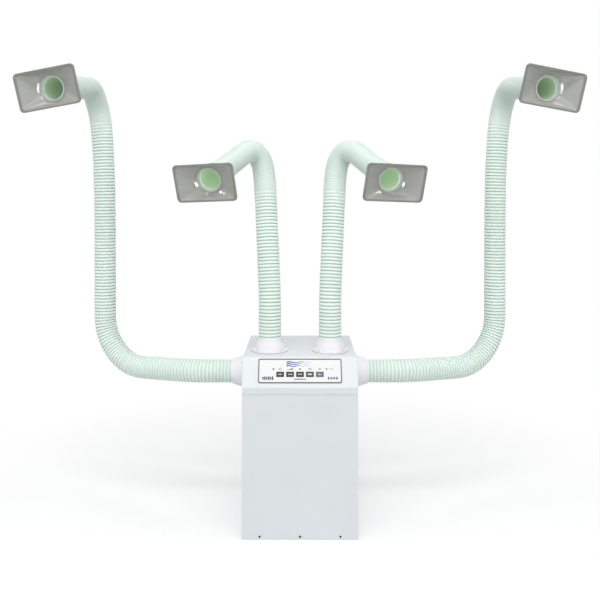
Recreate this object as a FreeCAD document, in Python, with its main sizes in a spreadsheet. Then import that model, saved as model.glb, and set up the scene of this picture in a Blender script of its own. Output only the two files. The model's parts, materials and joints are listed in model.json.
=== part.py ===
"""Floor-standing local exhaust ventilation unit with four self-supporting hoses.

Units are millimetres. The origin lies on the floor, under the middle of the
cabinet. The front of the cabinet faces -Y and +Z is up. Every size that drives
the model is one named cell of the sheet called Sizes, and the objects are bound
to those cells by expressions.
"""
import FreeCAD
import Part
import Sketcher
import math
import os
import re

Vector = FreeCAD.Vector

SIZES = {
    # cabinet
    "cab_width": 400,
    "cab_depth": 445,
    "cab_height": 615,
    "wall": 2,
    "slope_run": 63,
    "slope_drop": 93,
    "lip_height": 21,
    "fold_round": 3,
    "seam": 1,
    "fit": 0.3,
    "panel_return": 14,
    "panel_tuck": 12,
    "base_flange": 30,
    "panel_screw_inset": 61,
    "panel_screw_rise": 10,
    # screws
    "screw_radius": 2,
    "screw_slack": 0.3,
    "screw_length": 9,
    "screw_head": 3.6,
    "screw_head_rise": 2.4,
    # hoses
    "hose_radius": 42,
    "rib_height": 2.2,
    "hose_wall": 1.2,
    "rib_pitch": 12.4,
    "outer_start_bend": 300,
    "outer_lower_bend": 185,
    "outer_lean_bend": 2500,
    "outer_elbow": 80,
    "outer_reach": 408,
    "outer_yaw": 7,
    "outer_pitch": 9.3,
    "outer_roll": 9,
    "inner_start_bend": 600,
    "inner_elbow": 65,
    "inner_neck_bend": 200,
    "inner_reach": 140,
    "inner_yaw": 16,
    "inner_pitch": 17.5,
    "inner_roll": 2,
    # collars
    "collar_y": -54,
    "top_collar_inset": 89.5,
    "side_collar_drop": 76,
    "gasket_thick": 1,
    "flange_width": 10,
    "flange_thick": 5,
    "collar_wall": 3.2,
    "bell_flare": 10.5,
    "bell_waist": 6.5,
    "bell_curve": 60,
    "collar_rise": 46,
    "collar_ledge": 16,
    "edge_break": 0.8,
    # cuffs and hoods
    "cuff_wall": 2.7,
    "cuff_step": 0.6,
    "cuff_lip": 0.8,
    "cuff_lip_thick": 2,
    "cuff_stop": 6,
    "cuff_ring": 4,
    "cuff_tail": 14,
    "hood_width": 214,
    "hood_height": 126,
    "hood_depth": 42,
    "hood_wall": 2.4,
    "hood_corner": 12,
    "hood_rim": 3,
    "hood_sleeve": 30,
    "throat_ledge": 4,
    "throat_bevel": 6,
    # control panel, measured on the slope from its middle
    "label_width": 284,
    "label_height": 81,
    "label_shift": 4,
    "label_thick": 1.2,
    "label_corner": 4,
    "frame_width": 3,
    "frame_rise": 1.8,
    "key_width": 26.4,
    "key_height": 18.6,
    "key_gap": 8,
    "key_shift": -8.7,
    "key_proud": 0.8,
    "key_round": 0.6,
    "key_corner": 1.6,
    "key_lip": 1.5,
    "key_lip_thick": 1.6,
    "led_radius": 2.6,
    "led_rise": 9.9,
    "led_gap": 10.5,
    "window_margin": 6,
    "board_drop": 9,
    "board_thick": 1.6,
    "board_margin": 12,
    "post_thick": 6,
    "switch_width": 6,
    "switch_pin": 1.7,
    "shield_depth": 24,
    "shield_wall": 1.5,
    # blower
    "deck_rise": 235,
    "inlet_radius": 70,
    "bellmouth_drop": 10,
    "bellmouth_rim": 24,
    "impeller_radius": 120,
    "impeller_rise": 66,
    "impeller_sheet": 3,
    "impeller_gap": 8,
    "eye_gap": 5,
    "blade_count": 9,
    "motor_radius": 48,
    "motor_rise": 62,
    "motor_gap": 4,
    "motor_foot": 10,
    "motor_foot_thick": 5,
    "shaft_radius": 6,
    "mount_plate": 300,
    "mount_thick": 3,
    "mount_inset": 16,
    "mount_vent": 27,
    "mount_post": 6,
    # filters
    "rail_leg": 20,
    "filter_gap": 27,
    "filter_side": 4,
    "filter_front": 24,
    "carbon_rise": 50,
    "carbon_frame_wall": 2,
    "hepa_rim": 12,
    "pleat_count": 22,
    "pleat_thick": 4,
    "seal_rise": 5,
    "prefilter_rise": 20,
    "plenum_depth": 166,
    # rear panel
    "grille_margin": 60,
    "grille_height": 150,
    "grille_middle": 125,
    "grille_thick": 2,
    "grille_border": 15,
    "grille_corner": 6,
    "slot_count": 11,
    "slot_height": 6,
    "inlet_inset": 31,
    "inlet_z": 62,
    "inlet_width": 28,
    "inlet_height": 21,
    "inlet_depth": 24,
    "inlet_wall": 2,
    "inlet_ear": 11,
    "inlet_bezel": 3,
    "pin_width": 2,
    "pin_height": 4,
    "pin_setback": 11,
}

doc = FreeCAD.newDocument("exhaust_unit")
sheet = doc.addObject("Spreadsheet::Sheet", "Sizes")
for row, (alias, number) in enumerate(SIZES.items(), 1):
    sheet.set(f"A{row}", alias)
    sheet.set(f"B{row}", str(number))
    sheet.setAlias(f"B{row}", alias)
doc.recompute()

# Lengths that follow from the sizes, written as expressions.
SLOPE = "sqrt(slope_run ^ 2 + slope_drop ^ 2)"
TILT = "atan(slope_drop / slope_run)"
FRONT = "(-cab_depth / 2)"
REAR = "(cab_depth / 2)"
PANEL_Y = "(-cab_depth / 2 + wall + fit)"
SIDE_Y = f"({PANEL_Y} + panel_return + seam)"
DECK_Y = f"({SIDE_Y} + wall + fit)"
LIP_Z = "(cab_height - slope_drop - lip_height)"
INSIDE_X = "(cab_width / 2 - wall)"
SLOPE_Y = "(-cab_depth / 2 + slope_run / 2)"
SLOPE_Z = "(cab_height - slope_drop / 2)"
SCREW_HOLE = "(screw_radius + screw_slack)"
TOP_COLLAR_X = "(cab_width / 2 - top_collar_inset)"
SIDE_COLLAR_Z = "(cab_height - side_collar_drop)"
HOSE_BORE = "(hose_radius - rib_height - hose_wall)"
SOCKET = "(hose_radius + fit)"
SOCKET_FLOOR = "(gasket_thick + collar_ledge)"
BELL_TOP = f"({SOCKET} + collar_wall)"
BELL_BASE = f"({BELL_TOP} + bell_flare)"
FLANGE = f"({BELL_BASE} + flange_width)"
BOLT_CIRCLE = f"({BELL_BASE} + flange_width * 0.55)"
DUCT_HOLE = f"({HOSE_BORE} + cuff_step)"
CUFF_BORE = f"({HOSE_BORE} - cuff_step)"
CUFF_OUTER = f"({SOCKET} + cuff_wall)"
CUFF_BACK = "(hood_sleeve + cuff_tail)"
KEY_PITCH = "(key_width + key_gap)"
LED_X = f"(2 * {KEY_PITCH} + key_width / 2 + led_gap)"
LED_Y = "(key_shift + key_height / 2 + led_rise)"
WINDOW_X = f"({LED_X} + led_radius + window_margin)"
WINDOW_LOW = "(key_shift - key_height / 2 - key_lip - 1)"
WINDOW_HIGH = f"({LED_Y} + led_radius + window_margin / 2)"
BOARD_TOP = "(-wall - board_drop)"
IMPELLER_Z = "(deck_rise - impeller_gap - impeller_rise)"
MOTOR_Z = f"({IMPELLER_Z} - motor_gap - motor_rise)"
FILTER_X = f"({INSIDE_X} - filter_side)"
FILTER_Y = "(cab_depth / 2 - filter_front)"
CARBON_Z = "(deck_rise + wall + filter_gap)"
HEPA_Z = f"({CARBON_Z} + carbon_rise)"
PLENUM_Z = "(cab_height - plenum_depth)"
PREFILTER_Z = f"({PLENUM_Z} - prefilter_rise)"
SEAL_Z = f"({PREFILTER_Z} - seal_rise)"
HEPA_RISE = f"({SEAL_Z} - {HEPA_Z})"
GRILLE_WIDTH = "(cab_width - 2 * grille_margin)"
INLET_X = "(cab_width / 2 - inlet_inset)"

# Corners of the hoses' routes, seen from the middle of each collar's socket floor:
# outward, back and up. Each list ends at the corner before the hood.
OUTER_CORNERS = [(0, 0, 0), (172.7, 0, 0), (554.7, 204, -24), (555.7, 204, 661), (573.7, 204, 1073)]
OUTER_BENDS = ["outer_start_bend", "outer_lower_bend", "outer_lean_bend", "outer_elbow"]
INNER_CORNERS = [(0, 0, 0), (0, 0, 172.7), (26.5, 84, 771.7), (162.7, -52.6, 645.9)]
INNER_BENDS = ["inner_start_bend", "inner_elbow", "inner_neck_bend"]


def linked(text):
    """Turn the bare names of sizes in an expression into references to the sheet."""
    return re.sub(r"[a-z][a-z_]+", lambda m: "Sizes." + m[0] if m[0] in SIZES else m[0], str(text))


def value(text):
    """Number that an expression gives now."""
    result = sheet.evalExpression(linked(text))
    return float(getattr(result, "Value", result))


def spot(x, y, z):
    """Point from three expressions."""
    return Vector(value(x), value(y), value(z))


def bind(obj, prop, text):
    obj.setExpression(prop, linked(text))


def place(obj, x="0", y="0", z="0", axis=None, angle="0"):
    """Give an object its place, bound to the sheet."""
    if axis is not None:
        turn = FreeCAD.Rotation(axis, value(angle))
        obj.Placement = FreeCAD.Placement(Vector(), turn)
    for name, text in zip("xyz", (x, y, z)):
        bind(obj, f"Placement.Base.{name}", text)
    if axis is not None and angle == TILT:
        bind(obj, "Placement.Rotation.Angle", angle)
    return obj


nodes = []


def node(obj, label):
    """Name a finished sub-part: the label also names its file."""
    obj.Label = label
    nodes.append(obj)
    return obj


# Sketches and features

def body(name):
    return doc.addObject("PartDesign::Body", name)


def sketch(owner, plane, lift="0", loops=(), circles=()):
    """Sketch on an origin plane, lifted along its normal, with closed outlines and circles."""
    made = owner.newObject("Sketcher::SketchObject", owner.Name + "_sketch")
    support = [f for f in owner.Origin.OriginFeatures if f.Role == plane + "_Plane"][0]
    made.AttachmentSupport = [(support, "")]
    made.MapMode = "FlatFace"
    bind(made, "AttachmentOffset.Base.z", lift)
    for loop in loops:
        outline(made, loop)
    for x, y, radius in circles:
        circle(made, x, y, radius)
    return made


def fix(made, kind, index, position, text):
    """Hold one coordinate of a sketch point, bound to the sheet."""
    number = made.addConstraint(Sketcher.Constraint(kind, -1, 1, index, position, value(text)))
    bind(made, f"Constraints[{number}]", text)


def outline(made, points):
    """Closed outline. A point with a radius starts an arc to the next point, its
    centre to the left of the way there, or to the right where the radius is led by a minus."""
    spots = [Vector(value(p[0]), value(p[1]), 0) for p in points]
    ends = []
    for i, point in enumerate(points):
        here = spots[i]
        there = spots[(i + 1) % len(spots)]
        if len(point) == 2:
            index = made.addGeometry(Part.LineSegment(here, there), False)
            ends.append((index, 1, 2))
        else:
            right = point[2].startswith("-")
            text = point[2].lstrip("-")
            radius = value(text)
            chord = there - here
            half = chord.Length / 2
            left = Vector(-chord.y, chord.x, 0).normalize()
            away = math.sqrt(max(radius ** 2 - half ** 2, 0))
            centre = (here + there) * 0.5 + left * (-away if right else away)
            begin, end = (there, here) if right else (here, there)
            start = math.atan2(begin.y - centre.y, begin.x - centre.x)
            stop = math.atan2(end.y - centre.y, end.x - centre.x)
            if stop < start:
                stop += 2 * math.pi
            ring = Part.Circle(centre, Vector(0, 0, 1), radius)
            index = made.addGeometry(Part.ArcOfCircle(ring, start, stop), False)
            ends.append((index, 2, 1) if right else (index, 1, 2))
    for i, point in enumerate(points):
        index, start, stop = ends[i]
        after, after_start = ends[(i + 1) % len(ends)][:2]
        made.addConstraint(Sketcher.Constraint("Coincident", index, stop, after, after_start))
        fix(made, "DistanceX", index, start, point[0])
        fix(made, "DistanceY", index, start, point[1])
        if len(point) == 3:
            text = point[2].lstrip("-")
            number = made.addConstraint(Sketcher.Constraint("Radius", index, value(text)))
            bind(made, f"Constraints[{number}]", text)


def circle(made, x, y, radius):
    centre = Vector(value(x), value(y), 0)
    index = made.addGeometry(Part.Circle(centre, Vector(0, 0, 1), value(radius)), False)
    fix(made, "DistanceX", index, 3, x)
    fix(made, "DistanceY", index, 3, y)
    number = made.addConstraint(Sketcher.Constraint("Radius", index, value(radius)))
    bind(made, f"Constraints[{number}]", radius)


def rectangle(x0, y0, x1, y1):
    return [(x0, y0), (x1, y0), (x1, y1), (x0, y1)]


def centred(width, height, x="0", y="0"):
    """Rectangle about a middle point."""
    return rectangle(f"{x} - ({width}) / 2", f"{y} - ({height}) / 2",
                     f"{x} + ({width}) / 2", f"{y} + ({height}) / 2")


def rounded(width, height, radius, y="0"):
    """Rectangle with round corners about a middle point on the Y axis."""
    x_out, y_out = f"({width}) / 2", f"({height}) / 2"
    x_in, y_in = f"({x_out} - {radius})", f"({y_out} - {radius})"
    return [
        (f"-{x_in}", f"{y} - {y_out}"), (x_in, f"{y} - {y_out}", radius),
        (x_out, f"{y} - {y_in}"), (x_out, f"{y} + {y_in}", radius),
        (x_in, f"{y} + {y_out}"), (f"-{x_in}", f"{y} + {y_out}", radius),
        (f"-{x_out}", f"{y} + {y_in}"), (f"-{x_out}", f"{y} - {y_in}", radius),
    ]


def pad(owner, profile, length, back=False):
    made = owner.newObject("PartDesign::Pad", owner.Name + "_pad")
    made.Profile = profile
    made.Reversed = back
    bind(made, "Length", length)
    doc.recompute()
    return made


def pocket(owner, profile, length, back=False):
    """Cut, and make sure that it took something away."""
    before = owner.Shape.Volume
    made = owner.newObject("PartDesign::Pocket", owner.Name + "_pocket")
    made.Profile = profile
    made.Reversed = back
    bind(made, "Length", length)
    doc.recompute()
    assert owner.Shape.Volume < before - 1e-3, owner.Name + " pocket cuts nothing"
    return made


def revolve(owner, profile):
    made = owner.newObject("PartDesign::Revolution", owner.Name + "_revolution")
    made.Profile = profile
    made.ReferenceAxis = (profile, ["V_Axis"])
    made.Angle = 360
    doc.recompute()
    return made


def fillet(owner, base, radius, wanted):
    """Round the edges of a feature whose middle point passes a test."""
    names = []
    for number, edge in enumerate(base.Shape.Edges, 1):
        if wanted(edge):
            names.append(f"Edge{number}")
    made = owner.newObject("PartDesign::Fillet", owner.Name + "_fillet")
    made.Base = (base, names)
    bind(made, "Radius", radius)
    doc.recompute()
    return made


def middle(edge):
    return edge.valueAt((edge.FirstParameter + edge.LastParameter) / 2)


def group(name, members):
    made = doc.addObject("Part::Compound", name)
    made.Links = members
    return made


def mirrored(source):
    made = doc.addObject("Part::Mirroring", source.Name + "_mirrored")
    made.Source = source
    made.Normal = (1, 0, 0)
    return made


def ring_of_four(radius, x="0", y="0"):
    """Four points at 45 degrees on a circle."""
    reach = f"{radius} * 0.70710678"
    return [(f"{x} + {sx} * {reach}", f"{y} + {sy} * {reach}") for sx in (-1, 1) for sy in (-1, 1)]


# Cabinet sheet metal

base = body("base_pan")
tray = rectangle(f"-({INSIDE_X} - fit)", f"{PANEL_Y} + wall + fit",
                 f"{INSIDE_X} - fit", f"{REAR} - wall - fit")
pad(base, sketch(base, "XY", loops=[tray]), "base_flange")
hollow = rectangle(f"-({INSIDE_X} - fit - wall)", f"{PANEL_Y} + 2 * wall + fit",
                   f"{INSIDE_X} - fit - wall", f"{REAR} - 2 * wall - fit")
pocket(base, sketch(base, "XY", lift="wall", loops=[hollow]), "base_flange", back=True)
panel_screws = []
for i in (-1, 0, 1):
    panel_screws.append((f"{i} * (cab_width / 2 - panel_screw_inset)", "panel_screw_rise", SCREW_HOLE))
front_holes = sketch(base, "XZ", lift=f"-({PANEL_Y} + wall)", circles=panel_screws)
pocket(base, front_holes, "2 * wall + fit")
node(base, "base_pan")

front = body("front_panel")
channel = [
    ("-cab_width / 2", PANEL_Y), ("cab_width / 2", PANEL_Y),
    ("cab_width / 2", f"{PANEL_Y} + panel_return"), (INSIDE_X, f"{PANEL_Y} + panel_return"),
    (INSIDE_X, f"{PANEL_Y} + wall"), (f"-{INSIDE_X}", f"{PANEL_Y} + wall"),
    (f"-{INSIDE_X}", f"{PANEL_Y} + panel_return"), ("-cab_width / 2", f"{PANEL_Y} + panel_return"),
]
pad(front, sketch(front, "XY", loops=[channel]), f"{LIP_Z} + panel_tuck - seam")
lowered = [(x, f"{z} - seam", r) for x, z, r in panel_screws]
pocket(front, sketch(front, "XZ", lift=f"-({PANEL_Y} - seam)", circles=lowered), "wall + 2 * seam")
place(front, z="seam")
node(front, "front_panel")


def side_panel(label, x):
    """Flat side with the hole for its hose collar."""
    made = body(label)
    under = "(wall + fit)"
    edge = [
        (SIDE_Y, "seam"),
        (f"{REAR} - wall - fit", "seam"),
        (f"{REAR} - wall - fit", f"cab_height - {under}"),
        (f"{FRONT} + slope_run + {under} * ({SLOPE} - slope_run) / slope_drop", f"cab_height - {under}"),
        (f"{FRONT} + {under}", f"cab_height - slope_drop - {under} * ({SLOPE} - slope_drop) / slope_run"),
        (f"{FRONT} + {under}", f"{LIP_Z} + panel_tuck + seam"),
        (SIDE_Y, f"{LIP_Z} + panel_tuck + seam"),
    ]
    holes = [("collar_y", SIDE_COLLAR_Z, DUCT_HOLE)]
    for y, z in ring_of_four(BOLT_CIRCLE, "collar_y", SIDE_COLLAR_Z):
        holes.append((y, z, SCREW_HOLE))
    pad(made, sketch(made, "YZ", loops=[edge], circles=holes), "wall")
    place(made, x=x)
    return node(made, label)


side_panel("left_side_panel", "-cab_width / 2")
side_panel("right_side_panel", INSIDE_X)

GRILLE_SPOTS = []
for sx in (-1, 1):
    for sz in (-1, 1):
        across = f"{sx} * ({GRILLE_WIDTH} - grille_border) / 2"
        GRILLE_SPOTS.append((across, f"grille_middle + {sz} * (grille_height - grille_border) / 2"))
INLET_SPOTS = [(f"{INLET_X} + {sx} * (inlet_width + inlet_ear) / 2", "inlet_z") for sx in (-1, 1)]
rear = body("rear_panel")
border = "2 * grille_border"
window = centred(f"{GRILLE_WIDTH} - {border}", f"grille_height - {border}", y="grille_middle")
socket_hole = centred("inlet_width + 2 * fit", "inlet_height + 2 * fit", INLET_X, "inlet_z")
plate = rectangle("-cab_width / 2", "seam", "cab_width / 2", "cab_height - wall - fit")
rear_holes = [(x, z, SCREW_HOLE) for x, z in GRILLE_SPOTS + INLET_SPOTS]
pad(rear, sketch(rear, "XZ", loops=[plate, window, socket_hole], circles=rear_holes), "wall", back=True)
place(rear, y=f"{REAR} - wall")
node(rear, "rear_panel")

cover = body("top_cover")
fold = [
    (REAR, "cab_height - wall"),
    (REAR, "cab_height"),
    (f"{FRONT} + slope_run", "cab_height"),
    (FRONT, "cab_height - slope_drop"),
    (FRONT, LIP_Z),
    (f"{FRONT} + wall", LIP_Z),
    (f"{FRONT} + wall", f"cab_height - slope_drop - wall * ({SLOPE} - slope_drop) / slope_run"),
    (f"{FRONT} + slope_run + wall * ({SLOPE} - slope_run) / slope_drop", "cab_height - wall"),
]
folded = pad(cover, sketch(cover, "YZ", lift="-cab_width / 2", loops=[fold]), "cab_width")
bends = [spot("0", f"{FRONT} + slope_run", "cab_height"), spot("0", FRONT, "cab_height - slope_drop")]
fillet(cover, folded, "fold_round", lambda edge: min(middle(edge).distanceToPoint(b) for b in bends) < 1e-3)
top_holes = []
for sx in (-1, 1):
    top_holes.append((f"{sx} * {TOP_COLLAR_X}", "collar_y", DUCT_HOLE))
    for x, y in ring_of_four(BOLT_CIRCLE, f"{sx} * {TOP_COLLAR_X}", "collar_y"):
        top_holes.append((x, y, SCREW_HOLE))
pocket(cover, sketch(cover, "XY", lift="cab_height", circles=top_holes), "2 * wall")
key_window = rectangle(f"-{WINDOW_X}", WINDOW_LOW, WINDOW_X, WINDOW_HIGH)
opening = sketch(cover, "XY", loops=[key_window])
opening.AttachmentOffset = FreeCAD.Placement(Vector(), FreeCAD.Rotation(Vector(1, 0, 0), value(TILT)))
bind(opening, "AttachmentOffset.Base.y", SLOPE_Y)
bind(opening, "AttachmentOffset.Base.z", SLOPE_Z)
bind(opening, "AttachmentOffset.Rotation.Angle", TILT)
pocket(cover, opening, "2 * wall")
node(cover, "top_cover")

# Screws: one pan-head screw is the seed of every set

seed = body("screw_seed")
pan = [
    ("0", "-screw_length"), ("screw_radius / 2", "-screw_length"),
    ("screw_radius", "screw_radius / 2 - screw_length"), ("screw_radius", "0"),
    ("screw_head", "0"), ("screw_head", "screw_head_rise * 0.4"),
    ("screw_head * 0.6", "screw_head_rise"), ("0", "screw_head_rise"),
]
revolve(seed, sketch(seed, "XZ", loops=[pan]))
cross = [centred("screw_head * 1.1", "screw_head * 0.24")]
pocket(seed, sketch(seed, "XY", lift="screw_head_rise", loops=cross), "screw_head_rise * 0.5")
cross = [centred("screw_head * 0.24", "screw_head * 1.1")]
pocket(seed, sketch(seed, "XY", lift="screw_head_rise", loops=cross), "screw_head_rise * 0.5")


def screw_set(label, spots):
    """One set of screws: each spot is the place under a head and the way it looks."""
    copies = []
    for spot, way in spots:
        turn = FreeCAD.Rotation(Vector(0, 0, 1), way)
        copies.append(seed.Shape.transformed(FreeCAD.Placement(spot, turn).toMatrix()))
    made = doc.addObject("Part::Feature", label)
    made.Shape = Part.makeCompound(copies)
    return node(made, label)


screw_set("front_panel_screws", [(spot(x, PANEL_Y, z), Vector(0, -1, 0)) for x, z, r in panel_screws])

# Rear: exhaust grille and mains inlet

grille = body("exhaust_grille")
slots = [rounded(GRILLE_WIDTH, "grille_height", "grille_corner", y="grille_middle")]
for i in range(int(value("slot_count"))):
    step = "(grille_height - 2 * grille_border - slot_height) / (slot_count - 1)"
    level = f"grille_middle + ({i} - (slot_count - 1) / 2) * {step}"
    slots.append(centred(f"{GRILLE_WIDTH} - 2.6 * grille_border", "slot_height", y=level))
grille_holes = [(x, z, SCREW_HOLE) for x, z in GRILLE_SPOTS]
pad(grille, sketch(grille, "XZ", loops=slots, circles=grille_holes), "grille_thick", back=True)
place(grille, y=REAR)
node(grille, "exhaust_grille")
screw_set("grille_screws", [(spot(x, f"{REAR} + grille_thick", z), Vector(0, 1, 0)) for x, z in GRILLE_SPOTS])

inlet = body("power_inlet")
bezel = centred("inlet_width + 2 * inlet_ear", "inlet_height + 4 * inlet_wall")
inlet_holes = [(f"{sx} * (inlet_width + inlet_ear) / 2", "0", SCREW_HOLE) for sx in (-1, 1)]
pad(inlet, sketch(inlet, "XZ", loops=[bezel], circles=inlet_holes), "inlet_bezel", back=True)
pad(inlet, sketch(inlet, "XZ", loops=[centred("inlet_width", "inlet_height")]), "inlet_depth")
well = centred("inlet_width - 2 * inlet_wall", "inlet_height - 2 * inlet_wall")
well = sketch(inlet, "XZ", lift="-inlet_bezel", loops=[well])
pocket(inlet, well, "inlet_depth", back=True)
for across, up in ((-1, -1), (0, 1), (1, -1)):
    pin = centred("pin_width", "pin_height", f"{across} * inlet_width / 4", f"{up} * pin_height / 2")
    pin = sketch(inlet, "XZ", lift="inlet_depth - 1", loops=[pin])
    pad(inlet, pin, "inlet_depth - pin_setback", back=True)
place(inlet, x=INLET_X, y=REAR, z="inlet_z")
node(inlet, "power_inlet")
screw_set("inlet_screws", [(spot(x, f"{REAR} + inlet_bezel", z), Vector(0, 1, 0)) for x, z in INLET_SPOTS])

# Hose collars, their seals and screws

COLLARS = {
    "collar_top_left": (f"-{TOP_COLLAR_X}", "collar_y", "cab_height", Vector(0, 1, 0), "0"),
    "collar_top_right": (TOP_COLLAR_X, "collar_y", "cab_height", Vector(0, 1, 0), "0"),
    "collar_side_left": ("-cab_width / 2", "collar_y", SIDE_COLLAR_Z, Vector(0, 1, 0), "-90"),
    "collar_side_right": ("cab_width / 2", "collar_y", SIDE_COLLAR_Z, Vector(0, 1, 0), "90"),
}
FLANGE_TOP = "(gasket_thick + flange_thick)"
bell = [
    (CUFF_BORE, "gasket_thick"),
    (FLANGE, "gasket_thick"),
    (FLANGE, f"{FLANGE_TOP} - edge_break"),
    (f"{FLANGE} - edge_break", FLANGE_TOP),
    (f"{BELL_BASE} + edge_break", FLANGE_TOP),
    (BELL_BASE, f"{FLANGE_TOP} + edge_break"),
    (f"{BELL_TOP} + bell_waist", "collar_rise * 0.52", "-bell_curve"),
    (BELL_TOP, "collar_rise - edge_break"),
    (f"{BELL_TOP} - edge_break", "collar_rise"),
    (SOCKET, "collar_rise"),
    (SOCKET, SOCKET_FLOOR),
    (CUFF_BORE, SOCKET_FLOOR),
]
seals = []
screw_spots = []
for label, (x, y, z, axis, angle) in COLLARS.items():
    collar = body(label)
    revolve(collar, sketch(collar, "XZ", loops=[bell]))
    holes = [(hx, hy, SCREW_HOLE) for hx, hy in ring_of_four(BOLT_CIRCLE)]
    pocket(collar, sketch(collar, "XY", circles=holes), f"{FLANGE_TOP} + flange_thick", back=True)
    place(collar, x, y, z, axis, angle)
    node(collar, label)
    seal = body(label + "_seal")
    discs = [("0", "0", f"{FLANGE} - edge_break"), ("0", "0", DUCT_HOLE)] + holes
    pad(seal, sketch(seal, "XY", circles=discs), "gasket_thick")
    place(seal, x, y, z, axis, angle)
    seals.append(seal)
    doc.recompute()
    for hx, hy, radius in holes:
        local = spot(hx, hy, FLANGE_TOP)
        way = collar.Placement.Rotation.multVec(Vector(0, 0, 1))
        screw_spots.append((collar.Placement.multVec(local), way))
node(group("collar_seals", seals), "collar_seals")
screw_set("collar_screws", screw_spots)

# Control panel on the slope


def on_slope(obj, x="0", up="0", out="0"):
    """Place an object on the slope: across, up the slope, and out of its face."""
    return place(obj, x, f"{SLOPE_Y} + ({up}) * slope_run / {SLOPE} - ({out}) * slope_drop / {SLOPE}",
                 f"{SLOPE_Z} + ({up}) * slope_drop / {SLOPE} + ({out}) * slope_run / {SLOPE}",
                 Vector(1, 0, 0), TILT)


LEDS = [(f"{i} * {LED_X}", LED_Y) for i in (-1, 0, 1)]
KEYS = ["key_power", "key_speed_down", "key_speed_up", "key_timer", "key_filter_reset"]
KEY_X = [f"{i} * {KEY_PITCH}" for i in (-2, -1, 0, 1, 2)]

fascia = body("control_fascia")
openings = [rounded("label_width", "label_height", "label_corner", y="label_shift")]
for x in KEY_X:
    openings.append(centred("key_width + 2 * fit", "key_height + 2 * fit", x, "key_shift"))
led_holes = [(x, y, "led_radius + fit") for x, y in LEDS]
pad(fascia, sketch(fascia, "XY", loops=openings, circles=led_holes), "label_thick")
node(on_slope(fascia), "control_fascia")

frame = body("fascia_frame")
inner = rounded("label_width + 2 * fit", "label_height + 2 * fit", "(label_corner + fit)", "label_shift")
outer = rounded("label_width + 2 * fit + 2 * frame_width", "label_height + 2 * fit + 2 * frame_width",
                "(label_corner + fit + frame_width)", "label_shift")
pad(frame, sketch(frame, "XY", loops=[outer, inner]), "frame_rise")
node(on_slope(frame), "fascia_frame")

for label, x in zip(KEYS, KEY_X):
    key = body(label)
    lip = centred("key_width + 2 * key_lip", "key_height + 2 * key_lip")
    pad(key, sketch(key, "XY", lift="-fit - key_lip_thick", loops=[lip]), "key_lip_thick")
    cap = rounded("key_width", "key_height", "key_corner")
    cap = sketch(key, "XY", lift="-fit - key_lip_thick", loops=[cap])
    raised = pad(key, cap, "fit + key_lip_thick + label_thick + key_proud")
    top = value("label_thick + key_proud")
    fillet(key, raised, "key_round", lambda e: abs(e.BoundBox.ZMin - top) + abs(e.BoundBox.ZMax - top) < 1e-3)
    node(on_slope(key, x, "key_shift"), label)


def around_window(margin):
    """Rectangle that stands out from the key window by a margin on each side."""
    reach = f"({WINDOW_X} + {margin})"
    return rectangle(f"-{reach}", f"{WINDOW_LOW} - {margin}", reach, f"{WINDOW_HIGH} + {margin}")


board = body("control_board")
card = around_window("board_margin")
pad(board, sketch(board, "XY", lift=f"{BOARD_TOP} - board_thick", loops=[card]), "board_thick")
node(on_slope(board), "control_board")

posts = []
for side in (-1, 1):
    for level in (WINDOW_LOW, WINDOW_HIGH):
        post = doc.addObject("Part::Cylinder", "board_post")
        bind(post, "Radius", "post_thick / 2")
        bind(post, "Height", "board_drop")
        posts.append(on_slope(post, f"{side} * ({WINDOW_X} + board_margin / 2)", level, BOARD_TOP))
node(group("board_standoffs", posts), "board_standoffs")

switches = []
for i, x in enumerate(KEY_X):
    switch = body(f"switch_{i}")
    reach = "(board_drop + wall - fit - key_lip_thick - key_proud)"
    pad(switch, sketch(switch, "XY", loops=[centred("switch_width", "switch_width")]), f"{reach} - 3")
    pad(switch, sketch(switch, "XY", circles=[("0", "0", "switch_pin")]), f"{reach} - 1")
    switches.append(on_slope(switch, x, "key_shift", BOARD_TOP))
node(group("key_switches", switches), "key_switches")

leds = []
for i, (x, y) in enumerate(LEDS):
    led = body(f"led_{i}")
    rise = "(wall + board_drop + label_thick)"
    lens = [("0", "0"), ("led_radius", "0"), ("led_radius", rise, "led_radius"),
            ("led_radius * 0.4", f"{rise} + led_radius * 0.5"), ("0", f"{rise} + led_radius * 0.5")]
    revolve(led, sketch(led, "XZ", loops=[lens]))
    leds.append(on_slope(led, x, y, BOARD_TOP))
node(group("indicator_leds", leds), "indicator_leds")

shield = body("board_shield")
case = around_window("(board_margin + 2 + shield_wall)")
pad(shield, sketch(shield, "XY", lift="-wall", loops=[case]), "shield_depth", back=True)
room = around_window("(board_margin + 2)")
pocket(shield, sketch(shield, "XY", lift="-wall", loops=[room]), "shield_depth - shield_wall")
node(on_slope(shield), "board_shield")

# Blower: deck, inlet, motor and impeller


def angle_pair(label, top):
    """Pair of angle irons on the side panels, with their upper faces at one height."""
    iron = body(label + "_left")
    section = [
        (f"-{INSIDE_X}", f"{top} - rail_leg"), (f"-{INSIDE_X} + wall", f"{top} - rail_leg"),
        (f"-{INSIDE_X} + wall", f"{top} - wall"), (f"-{INSIDE_X} + rail_leg", f"{top} - wall"),
        (f"-{INSIDE_X} + rail_leg", top), (f"-{INSIDE_X}", top),
    ]
    length = f"{REAR} - wall - rail_leg - {DECK_Y}"
    pad(iron, sketch(iron, "XZ", lift=f"-{DECK_Y}", loops=[section]), length, back=True)
    return node(group(label, [iron, mirrored(iron)]), label)


angle_pair("deck_angles", "deck_rise")
angle_pair("filter_rails", CARBON_Z)

deck = body("blower_deck")
FLOOR = rectangle(f"-({INSIDE_X} - fit)", DECK_Y, f"{INSIDE_X} - fit", f"{REAR} - wall - fit")
DECK_HOLE = "(inlet_radius + 3 * wall)"
pad(deck, sketch(deck, "XY", loops=[FLOOR], circles=[("0", "0", DECK_HOLE)]), "wall")
place(deck, z="deck_rise")
node(deck, "blower_deck")

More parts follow.
